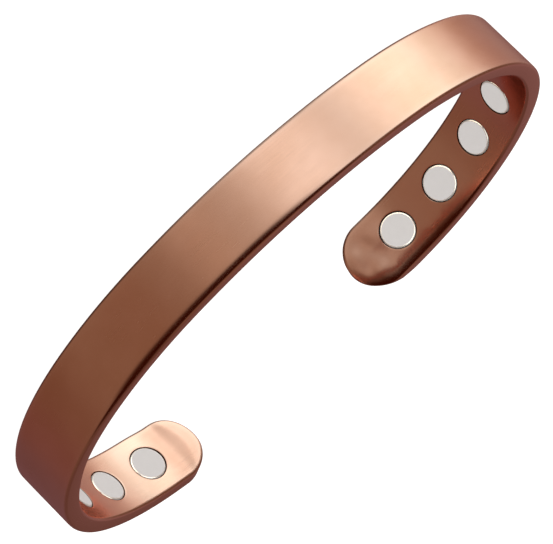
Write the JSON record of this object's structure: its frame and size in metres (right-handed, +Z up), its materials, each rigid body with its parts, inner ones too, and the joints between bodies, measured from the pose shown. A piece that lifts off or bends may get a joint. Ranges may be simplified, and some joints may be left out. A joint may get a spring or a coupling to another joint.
{
  "type": "magnetic cuff bracelet",
  "caption": "Open cuff bracelet bent from a flat copper strip with round ends, with round magnets sunk in the inner face of both arms so that they touch the wrist.",
  "frame": {"origin": "on the surface the bracelet lies on, under the middle of the box round it", "axes": "+Z up along the wrist's axis, as the bracelet lies on its long edge; -Y is the closed back, +Y the opening between the tips, +X the left arm"},
  "size_m": [0.0694, 0.0538, 0.008],
  "materials": {
    "copper": "satin polished copper",
    "nickel": "satin nickel plate"
  },
  "bodies": {
    "root": {"band": "copper", "magnet_left_1": "nickel", "magnet_left_2": "nickel", "magnet_left_3": "nickel", "magnet_left_4": "nickel", "magnet_right_1": "nickel", "magnet_right_2": "nickel", "magnet_right_3": "nickel", "magnet_right_4": "nickel"}
  },
  "joints": []
}
